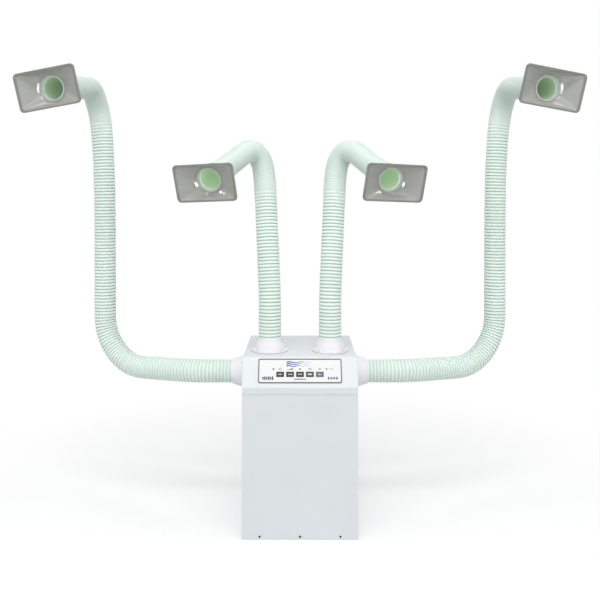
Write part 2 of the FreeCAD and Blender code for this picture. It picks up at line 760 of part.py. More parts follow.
mouth = body("inlet_ring")
bellmouth = [
    ("inlet_radius", "-bellmouth_drop"), ("inlet_radius + wall", "-bellmouth_drop"),
    ("inlet_radius + wall", "-wall"), (f"{DECK_HOLE} - fit", "0"), (f"{DECK_HOLE} - fit", "wall"),
    ("inlet_radius + bellmouth_rim", "wall"), ("inlet_radius + bellmouth_rim", "2 * wall"),
    ("inlet_radius + 3 * wall", "2 * wall", "5 * wall"), ("inlet_radius", "-wall"),
]
revolve(mouth, sketch(mouth, "XZ", loops=[bellmouth]))
place(mouth, z="deck_rise")
node(mouth, "inlet_ring")

carrier = body("motor_plate")
vents = [("0", "0", "motor_radius / 2")]
for sx, sy in ((-1, 0), (1, 0), (0, -1), (0, 1)):
    reach = "(mount_plate / 2 - mount_inset - mount_vent)"
    vents.append((f"{sx} * {reach}", f"{sy} * {reach}", "mount_vent"))
square = centred("mount_plate", "mount_plate")
pad(carrier, sketch(carrier, "XY", loops=[square], circles=vents), "mount_thick")
place(carrier, z=f"{MOTOR_Z} - mount_thick")
node(carrier, "motor_plate")

legs = []
for i, (sx, sy) in enumerate(((-1, -1), (-1, 1), (1, -1), (1, 1))):
    leg = doc.addObject("Part::Cylinder", f"motor_post_{i}")
    bind(leg, "Radius", "mount_post")
    bind(leg, "Height", f"deck_rise - {MOTOR_Z}")
    reach = "(mount_plate / 2 - mount_inset)"
    legs.append(place(leg, f"{sx} * {reach}", f"{sy} * {reach}", MOTOR_Z))
node(group("motor_posts", legs), "motor_posts")

motor = body("motor")
casing = [
    ("shaft_radius + fit", "0"), ("motor_radius + motor_foot", "0"),
    ("motor_radius + motor_foot", "motor_foot_thick"), ("motor_radius", "motor_foot_thick"),
    ("motor_radius", "motor_rise - motor_foot"), ("motor_radius - motor_foot", "motor_rise"),
    ("shaft_radius + fit", "motor_rise"),
]
revolve(motor, sketch(motor, "XZ", loops=[casing]))
place(motor, z=MOTOR_Z)
node(motor, "motor")

wheel = body("impeller")
hub = [
    ("0", "-motor_rise * 0.7"), ("shaft_radius", "-motor_rise * 0.7"), ("shaft_radius", "0"),
    ("impeller_radius", "0"), ("impeller_radius", "impeller_sheet"), ("shaft_radius * 4", "impeller_sheet"),
    ("shaft_radius * 2.4", "impeller_rise / 2"), ("0", "impeller_rise / 2"),
]
revolve(wheel, sketch(wheel, "XZ", loops=[hub]))
vane = [
    ("impeller_radius * 0.64", "0"), ("impeller_radius * 0.97", "-impeller_radius * 0.18"),
    ("impeller_radius * 0.965", "-impeller_radius * 0.15"),
    ("impeller_radius * 0.65", "impeller_radius * 0.03"),
]
vane = sketch(wheel, "XY", lift="impeller_sheet / 2", loops=[vane])
blade = pad(wheel, vane, "impeller_rise - impeller_sheet")
doc.recompute()
fan = wheel.newObject("PartDesign::PolarPattern", "impeller_blades")
fan.Originals = [blade]
fan.Axis = ([f for f in wheel.Origin.OriginFeatures if f.Role == "Z_Axis"][0], [""])
fan.Angle = 360
bind(fan, "Occurrences", "blade_count")
wheel.Tip = fan
doc.recompute()
shroud = [("0", "0", "impeller_radius"), ("0", "0", "inlet_radius + eye_gap")]
pad(wheel, sketch(wheel, "XY", lift="impeller_rise - impeller_sheet", circles=shroud), "impeller_sheet")
place(wheel, z=IMPELLER_Z)
node(wheel, "impeller")

# Filter stack


def inside_filter(margin):
    """Outline of the filter stack, drawn in by a margin."""
    x, y = f"({FILTER_X} - {margin})", f"({FILTER_Y} - {margin})"
    return rectangle(f"-{x}", f"-{y}", x, y)


def ring_box(name, rise, rim):
    """Open rectangular frame of the filter stack."""
    made = body(name)
    pad(made, sketch(made, "XY", loops=[inside_filter("0"), inside_filter(rim)]), rise)
    return made


def core(name, rise, rim):
    """Block that fills such a frame."""
    made = body(name)
    pad(made, sketch(made, "XY", loops=[inside_filter(f"({rim} + fit)")]), rise)
    return made


CARBON_WALL = "carbon_frame_wall"
node(place(ring_box("carbon_frame", "carbon_rise", CARBON_WALL), z=CARBON_Z), "carbon_frame")
node(place(core("carbon_bed", "carbon_rise - 2 * wall", CARBON_WALL), z=f"{CARBON_Z} + wall"), "carbon_bed")
node(place(ring_box("hepa_frame", HEPA_RISE, "hepa_rim"), z=HEPA_Z), "hepa_frame")
node(place(ring_box("filter_seal", "seal_rise", "hepa_rim"), z=SEAL_Z), "filter_seal")
node(place(ring_box("prefilter_frame", "prefilter_rise", "hepa_rim"), z=PREFILTER_Z), "prefilter_frame")
fleece = core("prefilter_pad", "prefilter_rise - wall", "hepa_rim")
node(place(fleece, z=f"{PREFILTER_Z} + wall / 2"), "prefilter_pad")

pleats = body("hepa_pleats")
half_span = f"({FILTER_X} - hepa_rim - fit)"
turns = range(2 * int(value("pleat_count")) + 1)
levels = ("pleat_thick", f"({HEPA_RISE} - 2 * pleat_thick)")
low_side = [(f"{half_span} * ({i} / pleat_count - 1)", levels[i % 2]) for i in turns]
high_side = [(x, f"{z} + pleat_thick") for x, z in reversed(low_side)]
long_side = f"({FILTER_Y} - hepa_rim - fit)"
pad(pleats, sketch(pleats, "XZ", lift=f"-{long_side}", loops=[low_side + high_side]), f"2 * {long_side}")
place(pleats, z=HEPA_Z)
node(pleats, "hepa_pleats")

plenum = body("plenum_frame")
pad(plenum, sketch(plenum, "XY", loops=[FLOOR, inside_filter("hepa_rim")]), "wall")
place(plenum, z=PLENUM_Z)
node(plenum, "plenum_frame")

# Arms: a route of straight runs and arcs, a ribbed hose along it, a cuff and a hood


def axis_of(yaw, pitch, side):
    """Way that a hood looks: forward, turned outward by yaw and down by pitch."""
    across = math.radians(value(yaw))
    down = math.radians(value(pitch))
    level = Vector(side * math.sin(across), -math.cos(across), 0)
    return level * math.cos(down) - Vector(0, 0, math.sin(down))


def route(corners, radii):
    """Straight runs and tangent arcs through a list of corners."""
    runs = []
    here = corners[0]
    for i in range(1, len(corners) - 1):
        into = (corners[i] - corners[i - 1]).normalize()
        out = (corners[i + 1] - corners[i]).normalize()
        turn = into.getAngle(out)
        cut = radii[i - 1] * math.tan(turn / 2)
        start = corners[i] - into * cut
        assert (start - here).dot(into) > 0, f"run {i} is too short for its bend"
        runs.append(("line", here, into, (start - here).Length))
        pivot = into.cross(out).normalize()
        centre = start + pivot.cross(into) * radii[i - 1]
        runs.append(("arc", start, into, radii[i - 1] * turn, centre, pivot, turn))
        here = corners[i] + out * cut
    last = (corners[-1] - corners[-2]).normalize()
    runs.append(("line", here, last, (corners[-1] - here).Length))
    return runs


def along(runs, stations):
    """Place, direction and steady side vector at rising distances along a route."""
    side = runs[0][2].cross(Vector(0, 1, 0)).normalize()
    found = []
    passed = 0
    waiting = list(stations)
    for n, run in enumerate(runs):
        kind, start, way, length = run[:4]
        while waiting and (waiting[0] <= passed + length or n == len(runs) - 1):
            far = waiting.pop(0) - passed
            if kind == "line":
                found.append((start + way * far, way, side))
            else:
                turn = FreeCAD.Rotation(run[5], math.degrees(run[6] * far / length))
                found.append((run[4] + turn.multVec(start - run[4]), turn.multVec(way), turn.multVec(side)))
        if kind == "arc":
            side = FreeCAD.Rotation(run[5], math.degrees(run[6])).multVec(side)
        passed += length
    return found


def ring_wire(at, way, side, radius):
    """Circle square to a route, its seam on the steady side vector."""
    other = way.cross(side)
    matrix = FreeCAD.Matrix(side.x, other.x, way.x, at.x, side.y, other.y, way.y, at.y,
                            side.z, other.z, way.z, at.z, 0, 0, 0, 1)
    edge = Part.makeCircle(radius)
    edge.Placement = FreeCAD.Placement(matrix)
    return Part.Wire([edge])


# One rib, as shares of its pitch: groove's end, start and end of the crest, next groove
RIB_SHARES = (0, 0.14, 0.72, 0.86)
# Turn of one smooth piece of the bore in a bend, in degrees
BORE_TURN = 6


def hose_shape(runs):
    """Ribbed tube: a ruled skin through four circles for each rib, and a smooth bore."""
    total = sum(run[3] for run in runs)
    count = max(2, round(total / value("rib_pitch")))
    step = total / count
    crest, groove, bore = value("hose_radius"), value("hose_radius - rib_height"), value(HOSE_BORE)
    stations = []
    radii = []
    for i in range(count):
        for share, radius in zip(RIB_SHARES, (groove, crest, crest, groove)):
            stations.append((i + share) * step)
            radii.append(radius)
    stations.append(total)
    radii.append(groove)
    frames = along(runs, stations)
    skin = Part.makeLoft([ring_wire(*f, r) for f, r in zip(frames, radii)], True, True)
    inner = [0]
    for run in runs:
        pieces = 1 if run[0] == "line" else max(2, math.ceil(math.degrees(run[6]) / BORE_TURN))
        begin = inner[-1]
        inner += [begin + run[3] * (i + 1) / pieces for i in range(pieces)]
    hollow = Part.makeLoft([ring_wire(*f, bore) for f in along(runs, inner)], True, True)
    return skin.cut(hollow)


def hood_section(width, height, corner, level):
    """Round-cornered rectangle of four lines and four arcs, at one level."""
    x, y, r = width / 2, height / 2, corner
    k = r * (1 - math.sqrt(0.5))
    line = lambda a, b: Part.LineSegment(Vector(*a, level), Vector(*b, level)).toShape()
    arc = lambda a, b, c: Part.Arc(Vector(*a, level), Vector(*b, level), Vector(*c, level)).toShape()
    return Part.Wire([
        line((x, -y + r), (x, y - r)), arc((x, y - r), (x - k, y - k), (x - r, y)),
        line((x - r, y), (-x + r, y)), arc((-x + r, y), (-x + k, y - k), (-x, y - r)),
        line((-x, y - r), (-x, -y + r)), arc((-x, -y + r), (-x + k, -y + k), (-x + r, -y)),
        line((-x + r, -y), (x - r, -y)), arc((x - r, -y), (x - k, -y + k), (x, -y + r)),
    ])


# Angles on the throat where a side face and a top or bottom face end, in degrees
THROAT_MARKS = (22, 58)


def throat_section(radius, level):
    """Circle in eight arcs that meet the eight edges of the rectangle."""
    low, top = THROAT_MARKS
    marks = [-low, low, top, 180 - top, 180 - low, 180 + low, 180 + top, 360 - top, 360 - low]
    point = lambda a: Vector(radius * math.cos(math.radians(a)), radius * math.sin(math.radians(a)), level)
    edges = []
    for a, b in zip(marks, marks[1:]):
        edges.append(Part.Arc(point(a), point((a + b) / 2), point(b)).toShape())
    return Part.Wire(edges)


def hood_shape():
    """Shallow funnel from a rectangular mouth to a bevelled round throat, with a sleeve behind."""
    width, height, depth = value("hood_width"), value("hood_height"), value("hood_depth")
    wall, corner, rim = value("hood_wall"), value("hood_corner"), value("hood_rim")
    bore = value(f"{CUFF_OUTER} + fit")
    hole = value("hose_radius + fit")
    sleeve = value("hood_sleeve")
    foot = value("hose_radius + cuff_lip + 2 * fit + throat_ledge")
    bevel = value("throat_bevel")
    throat = throat_section(foot + bevel + wall, -wall)
    outside = Part.makeLoft([throat, hood_section(width, height, corner, depth)], True, True)
    flange = hood_section(width + 2 * rim, height + 2 * rim, corner + rim, depth - rim)
    flange = Part.Face(flange).extrude(Vector(0, 0, rim))
    neck = Part.makeCylinder(bore + wall, sleeve, Vector(0, 0, -sleeve))
    solid = outside.fuse([flange, neck]).removeSplitter()
    mouth = hood_section(width - 2 * wall, height - 2 * wall, corner - wall, depth)
    inside = Part.makeLoft([throat_section(foot + bevel, bevel), mouth], True, True)
    inside = inside.fuse(Part.makeCone(foot, foot + bevel, bevel))
    passage = Part.makeCylinder(bore, sleeve - wall, Vector(0, 0, -sleeve))
    passage = passage.fuse(Part.makeCylinder(hole, sleeve + wall, Vector(0, 0, -sleeve)))
    return solid.cut([inside, passage]).Solids[0]


def frame_at(at, way, roll):
    """Placement with Z along a hood's axis and Y as near up as the roll leaves it."""
    up = (Vector(0, 0, 1) - way * way.z).normalize()
    right = up.cross(way)
    turn = math.radians(roll)
    x = right * math.cos(turn) + up * math.sin(turn)
    y = way.cross(x)
    return FreeCAD.Placement(FreeCAD.Matrix(x.x, y.x, way.x, at.x, x.y, y.y, way.y, at.y,
                                            x.z, y.z, way.z, at.z, 0, 0, 0, 1))


CUFF = [
    (SOCKET, f"-{CUFF_BACK}"),
    (f"{CUFF_OUTER} + cuff_ring", f"-{CUFF_BACK}"),
    (f"{CUFF_OUTER} + cuff_ring", f"cuff_ring - {CUFF_BACK}"),
    (CUFF_OUTER, f"cuff_ring - {CUFF_BACK}"),
    (CUFF_OUTER, "-hood_wall - fit"),
    ("hose_radius", "-hood_wall - fit"),
    ("hose_radius", "fit"),
    ("hose_radius + cuff_lip", "fit"),
    ("hose_radius + cuff_lip", "fit + cuff_lip_thick - edge_break"),
    ("hose_radius + cuff_lip - edge_break", "fit + cuff_lip_thick"),
    (HOSE_BORE, "fit + cuff_lip_thick"),
    (HOSE_BORE, "-cuff_stop"),
    (SOCKET, "-cuff_stop"),
]


def arm(name, side, start, offsets, bends, reach, yaw, pitch, roll):
    """One arm: hose, cuff and hood. Offsets are the corners, seen from the collar's socket."""
    foot = spot(*start)
    way = axis_of(yaw, pitch, side)
    corners = [foot + Vector(side * x, y, z) for x, y, z in offsets]
    throat = corners[-1] + way * value(reach)
    corners.append(throat - way * value("cuff_stop + fit"))
    runs = route(corners, [value(bend) for bend in bends])
    hose = doc.addObject("Part::Feature", name + "_hose")
    hose.Shape = hose_shape(runs)
    node(hose, name + "_hose")
    seat = frame_at(throat, way, -side * value(roll))
    cuff = body(name + "_cuff")
    revolve(cuff, sketch(cuff, "XZ", loops=[CUFF]))
    cuff.Placement = seat
    node(cuff, name + "_cuff")
    hood = doc.addObject("Part::Feature", name + "_hood")
    hood.Shape = hood_shape()
    hood.Placement = seat
    node(hood, name + "_hood")
    elbow = max((run for run in runs if run[0] == "arc"), key=lambda run: run[6])
    print(name, "hose", round(sum(run[3] for run in runs)), "mm, elbow centre", elbow[4], "axis", elbow[5],
          "start", elbow[1], "throat", throat, "axis", way)


for word, side in (("left", -1), ("right", 1)):
    socket_x = f"{side} * (cab_width / 2 + {SOCKET_FLOOR} + fit)"
    arm("outer_" + word, side, (socket_x, "collar_y", SIDE_COLLAR_Z), OUTER_CORNERS, OUTER_BENDS,
        "outer_reach", "outer_yaw", "outer_pitch", "outer_roll")
    socket_z = f"cab_height + {SOCKET_FLOOR} + fit"
    arm("inner_" + word, side, (f"{side} * {TOP_COLLAR_X}", "collar_y", socket_z), INNER_CORNERS, INNER_BENDS,
        "inner_reach", "inner_yaw", "inner_pitch", "inner_roll")

# Check everything, then write one file for each sub-part

doc.recompute()
for obj in doc.Objects:
    assert not {"Invalid", "Error"} & set(obj.State), obj.Label + " " + str(obj.State)
os.makedirs("parts", exist_ok=True)
for obj in nodes:
    assert not obj.Shape.isNull(), obj.Label + " is empty"
    assert obj.Shape.isValid(), obj.Label + " is not valid"
    obj.Shape.exportStep(f"parts/{obj.Label}.step")
    box = obj.Shape.BoundBox
    print(obj.Label, len(obj.Shape.Solids), "solids", round(obj.Shape.Volume / 1000, 1), "cm3",
          [round(n, 1) for n in (box.XMin, box.XMax, box.YMin, box.YMax, box.ZMin, box.ZMax)])
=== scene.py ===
"""Looks of a floor-standing exhaust ventilation unit with four self-supporting hoses.

Metres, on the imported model's frame: the floor is at z = 0, the front faces -Y.
"""
import bmesh
import bpy
import json
import math
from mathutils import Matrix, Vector


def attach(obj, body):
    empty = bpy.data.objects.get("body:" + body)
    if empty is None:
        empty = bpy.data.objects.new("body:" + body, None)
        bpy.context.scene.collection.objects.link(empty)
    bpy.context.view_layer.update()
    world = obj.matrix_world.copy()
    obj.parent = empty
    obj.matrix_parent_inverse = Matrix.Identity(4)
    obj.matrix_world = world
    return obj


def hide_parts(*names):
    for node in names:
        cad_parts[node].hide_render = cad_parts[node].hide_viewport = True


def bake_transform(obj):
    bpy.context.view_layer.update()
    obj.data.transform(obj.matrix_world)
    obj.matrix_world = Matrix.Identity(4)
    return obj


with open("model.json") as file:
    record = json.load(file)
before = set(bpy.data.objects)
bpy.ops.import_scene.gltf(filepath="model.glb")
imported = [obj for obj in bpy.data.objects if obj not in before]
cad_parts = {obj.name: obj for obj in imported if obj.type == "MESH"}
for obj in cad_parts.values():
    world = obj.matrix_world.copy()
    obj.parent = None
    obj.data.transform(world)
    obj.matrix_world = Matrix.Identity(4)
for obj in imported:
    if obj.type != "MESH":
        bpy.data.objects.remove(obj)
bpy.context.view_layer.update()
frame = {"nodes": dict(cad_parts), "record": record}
nodes = frame["nodes"]
scene = bpy.context.scene
scene.view_settings.view_transform = "Standard"
MM = 0.001

# Camera: level, with the lens shifted down so that uprights stay upright

camera = bpy.data.objects.new("camera", bpy.data.cameras.new("camera"))
camera.location = (0, -2.6155, 1.167)
camera.rotation_euler = (math.pi / 2, 0, 0)
camera.data.lens = 41.82
camera.data.sensor_width = 36
camera.data.shift_y = -1 / 6
scene.collection.objects.link(camera)
scene.camera = camera


def linear(colour):
    """Linear colour of an sRGB hex value."""
    shares = [int(colour[i:i + 2], 16) / 255 for i in (0, 2, 4)]
    return [s / 12.92 if s <= 0.04045 else ((s + 0.055) / 1.055) ** 2.4 for s in shares] + [1]


def add(tree, kind, inputs=(), **settings):
    """Add one node with its settings. Each input is a value or another node's socket."""
    made = tree.nodes.new(kind)
    for name, setting in settings.items():
        setattr(made, name, setting)
    for name, given in dict(inputs).items():
        if isinstance(given, bpy.types.NodeSocket):
            tree.links.new(given, made.inputs[name])
        else:
            made.inputs[name].default_value = given
    return made


def surface(name, **sockets):
    """New material: its tree, its shader with plain sockets set, and its object coordinates."""
    made = bpy.data.materials.new(name)
    made.use_nodes = True
    tree = made.node_tree
    shader = tree.nodes["Principled BSDF"]
    for socket, given in sockets.items():
        shader.inputs[socket.replace("_", " ")].default_value = given
    place = add(tree, "ShaderNodeTexCoord").outputs["Object"]
    return made, tree, shader, place


def dress(tree, shader, tones, rough=None, relief=None):
    """Colour between two hex values, roughness between two values, and relief of a depth in
    millimetres and a strength, each by a share. The colour comes back."""
    share, first, second = tones
    tint = add(tree, "ShaderNodeMix", {"Factor": share, "A": linear(first), "B": linear(second)},
               data_type="RGBA").outputs["Result"]
    tree.links.new(tint, shader.inputs["Base Color"])
    if rough:
        share, low, high = rough
        sheen = add(tree, "ShaderNodeMapRange", {"Value": share, "To Min": low, "To Max": high})
        tree.links.new(sheen.outputs["Result"], shader.inputs["Roughness"])
    if relief:
        share, depth, strength = relief
        bump = add(tree, "ShaderNodeBump",
                   {"Height": share, "Distance": depth * MM, "Strength": strength})
        tree.links.new(bump.outputs["Normal"], shader.inputs["Normal"])
    return tint


def per_mm(size):
    """Texture scale at which one cell is this many millimetres."""
    return 1 / (size * MM)


# Finishes

def powder_coated_steel():
    """Polyester powder baked on sheet steel: even and satin, with the faint orange peel
    of the melted powder in its reflections and hardly any change of colour."""
    made, tree, shader, place = surface("powder_coated_steel", IOR=1.5, Coat_Weight=0.12,
                                        Coat_Roughness=0.3)
    cloud = add(tree, "ShaderNodeTexNoise",
                {"Vector": place, "Scale": per_mm(90), "Detail": 3}).outputs["Fac"]
    # the real peel is about 1.5 mm, drawn at 3 mm so that it shows
    peel = add(tree, "ShaderNodeTexNoise",
               {"Vector": place, "Scale": per_mm(3), "Detail": 2}).outputs["Fac"]
    dress(tree, shader, tones=(cloud, "DADFE2", "DFE4E7"), rough=(peel, 0.36, 0.5),
          relief=(peel, 0.05, 0.5))
    return made


def moulded_white_abs(name, light, dark, grain):
    """Injection-moulded ABS: milky white and softly glossy, with the spark-eroded grain of
    the mould that breaks up highlights."""
    made, tree, shader, place = surface(name, IOR=1.53, Subsurface_Weight=0.06, Subsurface_Scale=0.003)
    cloud = add(tree, "ShaderNodeTexNoise",
                {"Vector": place, "Scale": per_mm(25), "Detail": 2}).outputs["Fac"]
    skin = add(tree, "ShaderNodeTexNoise",
               {"Vector": place, "Scale": per_mm(grain), "Detail": 3}).outputs["Fac"]
    dress(tree, shader, tones=(cloud, dark, light), rough=(skin, 0.26, 0.4),
          relief=(skin, 0.03, 0.4))
    return made


def ribbed_hose_pvc():
    """Soft PVC blown over a helix: pale mint, waxy and a little see-through. Crests are bright, the
    thin grooves take a patchy grey green painted shade, and the inside a painted green colour and
    glow."""
    made, tree, shader, place = surface("ribbed_hose_pvc", IOR=1.5, Subsurface_Weight=0.12,
                                        Subsurface_Scale=0.003)
    groove = add(tree, "ShaderNodeAttribute", attribute_name="groove").outputs["Fac"]
    cloud = add(tree, "ShaderNodeTexNoise",
                {"Vector": place, "Scale": per_mm(35), "Detail": 3}).outputs["Fac"]
    # random patchiness of the painted shade in the grooves
    patchy_shade = add(tree, "ShaderNodeMapRange",
               {"Value": cloud, "To Min": 0.8, "To Max": 1.1}).outputs["Result"]
    depth = add(tree, "ShaderNodeMath", {0: groove, 1: patchy_shade}, operation="MULTIPLY",
                use_clamp=True).outputs[0]
    skin = add(tree, "ShaderNodeTexNoise",
               {"Vector": place, "Scale": per_mm(4), "Detail": 3}).outputs["Fac"]
    # painted shade: the grooves are coloured darker than the crests
    outside = dress(tree, shader, tones=(depth, "ECFAF2", "A5B6AC"), rough=(skin, 0.32, 0.46),
                    relief=(skin, 0.12, 0.5))
    # painted light: the inner skin gets a lighter green colour and a green glow, and its end a white
    # glow
    inside = add(tree, "ShaderNodeAttribute", attribute_name="inside").outputs["Fac"]
    wall = add(tree, "ShaderNodeMix", {"Factor": inside, "A": outside, "B": linear("CBDDC3")},
               data_type="RGBA").outputs["Result"]
    tree.links.new(wall, shader.inputs["Base Color"])
    light = add(tree, "ShaderNodeMix",
                {"Factor": inside, "A": linear("FFFFFF"), "B": linear("B2CFB2")},
                data_type="RGBA").outputs["Result"]
    tree.links.new(light, shader.inputs["Emission Color"])
    glow = add(tree, "ShaderNodeAttribute", attribute_name="glow").outputs["Fac"]
    tree.links.new(glow, shader.inputs["Emission Strength"])
    return made


# depths behind a hood's mouth where its face turns into the trimmed edge's painted shade, in
# millimetres
RIM_BACK = 4
RIM_FRONT = 2


def smoke_grey_hood_abs(name, facing, mouth):
    """Vacuum-formed ABS sheet: glossy smoke grey whose face carries long soft draw marks
    and a trace of haze, so that its highlights are white and a little smeared.
    The trimmed edge round the mouth is matt and carries a darker painted shade."""
    made, tree, shader, place = surface(name, IOR=1.53, Specular_IOR_Level=0.1, Coat_Roughness=0.06)
    stretch = add(tree, "ShaderNodeMapping", {"Vector": place, "Scale": (1, 1, 4)}).outputs["Vector"]
    draw = add(tree, "ShaderNodeTexNoise",
               {"Vector": stretch, "Scale": per_mm(90), "Detail": 1}).outputs["Fac"]
    haze = add(tree, "ShaderNodeTexNoise",
               {"Vector": place, "Scale": per_mm(6), "Detail": 3}).outputs["Fac"]
    sheet = dress(tree, shader, tones=(draw, "9C9D98", "A9AAA5"), rough=(haze, 0.3, 0.42),
                  relief=(haze, 0.02, 0.3))
    depth = add(tree, "ShaderNodeVectorMath", {0: place, 1: facing},
                operation="DOT_PRODUCT").outputs["Value"]
    shaded_matt_rim = add(tree, "ShaderNodeMapRange",
              {"Value": depth, "From Min": mouth - RIM_BACK * MM,
               "From Max": mouth - RIM_FRONT * MM}).outputs["Result"]
    # painted shade: the trimmed edge is coloured darker
    edge = add(tree, "ShaderNodeMix", {"Factor": shaded_matt_rim, "A": sheet, "B": linear("868782")},
               data_type="RGBA").outputs["Result"]
    tree.links.new(edge, shader.inputs["Base Color"])
    gloss = add(tree, "ShaderNodeMapRange",
                {"Value": shaded_matt_rim, "To Min": 0.8, "To Max": 0}).outputs["Result"]
    tree.links.new(gloss, shader.inputs["Coat Weight"])
    return made


def label_film():
    """Screen-printed polyester film: clean white and satin, with a very fine matt grain."""
    made, tree, shader, place = surface("label_film", IOR=1.57)
    grain = add(tree, "ShaderNodeTexNoise",
                {"Vector": place, "Scale": per_mm(1.2), "Detail": 3}).outputs["Fac"]
    dress(tree, shader, tones=(grain, "E0E1E1", "E5E6E6"), rough=(grain, 0.34, 0.46),
          relief=(grain, 0.02, 0.3))
    return made


def printed_ink(name, first, second):
    """Screen-printed ink: opaque and matt, a little uneven where the mesh laid it down."""
    made, tree, shader, place = surface(name, IOR=1.5)
    mesh = add(tree, "ShaderNodeTexNoise",
               {"Vector": place, "Scale": per_mm(0.8), "Detail": 2}).outputs["Fac"]
    dress(tree, shader, tones=(mesh, first, second), rough=(mesh, 0.4, 0.6))
    return made


def soft_key_rubber(name, first, second):
    """Silicone key cap: matt, slightly waxy, with a fine moulded grain."""
    made, tree, shader, place = surface(name, IOR=1.43)
    grain = add(tree, "ShaderNodeTexNoise",
                {"Vector": place, "Scale": per_mm(1), "Detail": 4}).outputs["Fac"]
    dress(tree, shader, tones=(grain, first, second), rough=(grain, 0.45, 0.62),
          relief=(grain, 0.03, 0.5))
    return made


def lamp_lens():
    """Tinted epoxy lens of an unlit lamp: nearly black, glossy, red where light gets in."""
    made, tree, shader, place = surface("lamp_lens", IOR=1.54, Coat_Weight=0.5, Coat_Roughness=0.05)
    depth = add(tree, "ShaderNodeTexNoise",
                {"Vector": place, "Scale": per_mm(2), "Detail": 1}).outputs["Fac"]
    dress(tree, shader, tones=(depth, "241414", "3C1C1C"), rough=(depth, 0.08, 0.16))
    return made


def glass_filled_nylon():
    """Black glass-filled nylon: dark grey and matt, speckled by fibres at its skin."""
    made, tree, shader, place = surface("glass_filled_nylon", IOR=1.53)
    fibre = add(tree, "ShaderNodeTexNoise",
                {"Vector": place, "Scale": per_mm(1.5), "Detail": 5}).outputs["Fac"]
    dress(tree, shader, tones=(fibre, "141415", "26272A"), rough=(fibre, 0.42, 0.62),
          relief=(fibre, 0.04, 0.5))
    return made


def seal_foam():
    """Closed-cell EPDM foam: charcoal and dull, with fine cells on its cut edge."""
    made, tree, shader, place = surface("seal_foam", IOR=1.5)
    cells = add(tree, "ShaderNodeTexVoronoi",
                {"Vector": place, "Scale": per_mm(0.9)}).outputs["Distance"]
    dress(tree, shader, tones=(cells, "1B1B1C", "303032"), rough=(cells, 0.7, 0.9),
          relief=(cells, 0.15, 0.6))
    return made


def galvanised_steel():
    """Hot-dip galvanised sheet: cool grey with flaky spangles that each reflect differently."""
    made, tree, shader, place = surface("galvanised_steel", Metallic=1.0)
    spangle = add(tree, "ShaderNodeTexVoronoi",
                  {"Vector": place, "Scale": per_mm(11)}).outputs["Color"]
    flake = add(tree, "ShaderNodeSeparateColor", {"Color": spangle}).outputs
    dress(tree, shader, tones=(flake["Red"], "9CA1A4", "BFC4C6"), rough=(flake["Green"], 0.3, 0.52))
    return made


def turned_metal(name, first, second, polish):
    """Machined or plated metal: bright, with fine tool rings and a little tarnish."""
    made, tree, shader, place = surface(name, Metallic=1.0)
    rings = add(tree, "ShaderNodeTexNoise",
                {"Vector": place, "Scale": per_mm(0.7), "Detail": 3}).outputs["Fac"]
    stain = add(tree, "ShaderNodeTexNoise",
                {"Vector": place, "Scale": per_mm(6), "Detail": 3}).outputs["Fac"]
    dress(tree, shader, tones=(stain, first, second), rough=(rings, polish, polish + 0.16),
          relief=(rings, 0.02, 0.5))
    return made


def cast_aluminium():
    """Die-cast aluminium: pale grey with a soft pebbled skin."""
    made, tree, shader, place = surface("cast_aluminium", Metallic=1.0)
    pebble = add(tree, "ShaderNodeTexNoise",
                 {"Vector": place, "Scale": per_mm(2.5), "Detail": 4}).outputs["Fac"]
    dress(tree, shader, tones=(pebble, "A2A5A7", "C4C6C7"), rough=(pebble, 0.35, 0.55),
          relief=(pebble, 0.08, 0.6))
    return made


def circuit_laminate():
    """Epoxy-glass circuit board: green solder mask with paler copper runs under it."""
    made, tree, shader, place = surface("circuit_laminate", IOR=1.55, Coat_Weight=0.2)
    runs = add(tree, "ShaderNodeTexBrick",
               {"Vector": place, "Scale": 1.0, "Mortar Size": 0.6 * MM, "Brick Width": 9 * MM,
                "Row Height": 3 * MM}).outputs["Fac"]
    weave = add(tree, "ShaderNodeTexNoise",
                {"Vector": place, "Scale": per_mm(1), "Detail": 2}).outputs["Fac"]
    dress(tree, shader, tones=(runs, "14502B", "2C7A47"), rough=(weave, 0.28, 0.42))
    return made


def filter_frame_board():
    """Pressed filter-frame board: buff, with short lighter and darker fibres."""
    made, tree, shader, place = surface("filter_frame_board", IOR=1.5)
    along = add(tree, "ShaderNodeMapping", {"Vector": place, "Scale": (1, 1, 5)}).outputs["Vector"]
    fibre = add(tree, "ShaderNodeTexNoise",
                {"Vector": along, "Scale": per_mm(6), "Detail": 6}).outputs["Fac"]
    dress(tree, shader, tones=(fibre, "B9AC93", "D6CBB6"), rough=(fibre, 0.65, 0.85),
          relief=(fibre, 0.1, 0.6))
    return made


def carbon_granules():
    """Activated carbon: loose black granules of about 3 mm with dull facets."""
    made, tree, shader, place = surface("carbon_granules", IOR=1.5)
    grains = add(tree, "ShaderNodeTexVoronoi",
                 {"Vector": place, "Scale": per_mm(3)}).outputs["Distance"]
    dress(tree, shader, tones=(grains, "2A2A2B", "0C0C0D"), rough=(grains, 0.55, 0.9),
          relief=(grains, 1.2, 1.0))
    return made


def filter_cloth(name, first, second, thread):
    """Non-woven filter cloth: white and dull, with a tangle of fine fibres."""
    made, tree, shader, place = surface(name, IOR=1.5, Sheen_Weight=0.2)
    tangle = add(tree, "ShaderNodeTexNoise",
                 {"Vector": place, "Scale": per_mm(thread), "Detail": 6,
                  "Distortion": 2.0}).outputs["Fac"]
    dress(tree, shader, tones=(tangle, first, second), rough=(tangle, 0.8, 0.95),
          relief=(tangle, 0.4, 0.8))
    return made


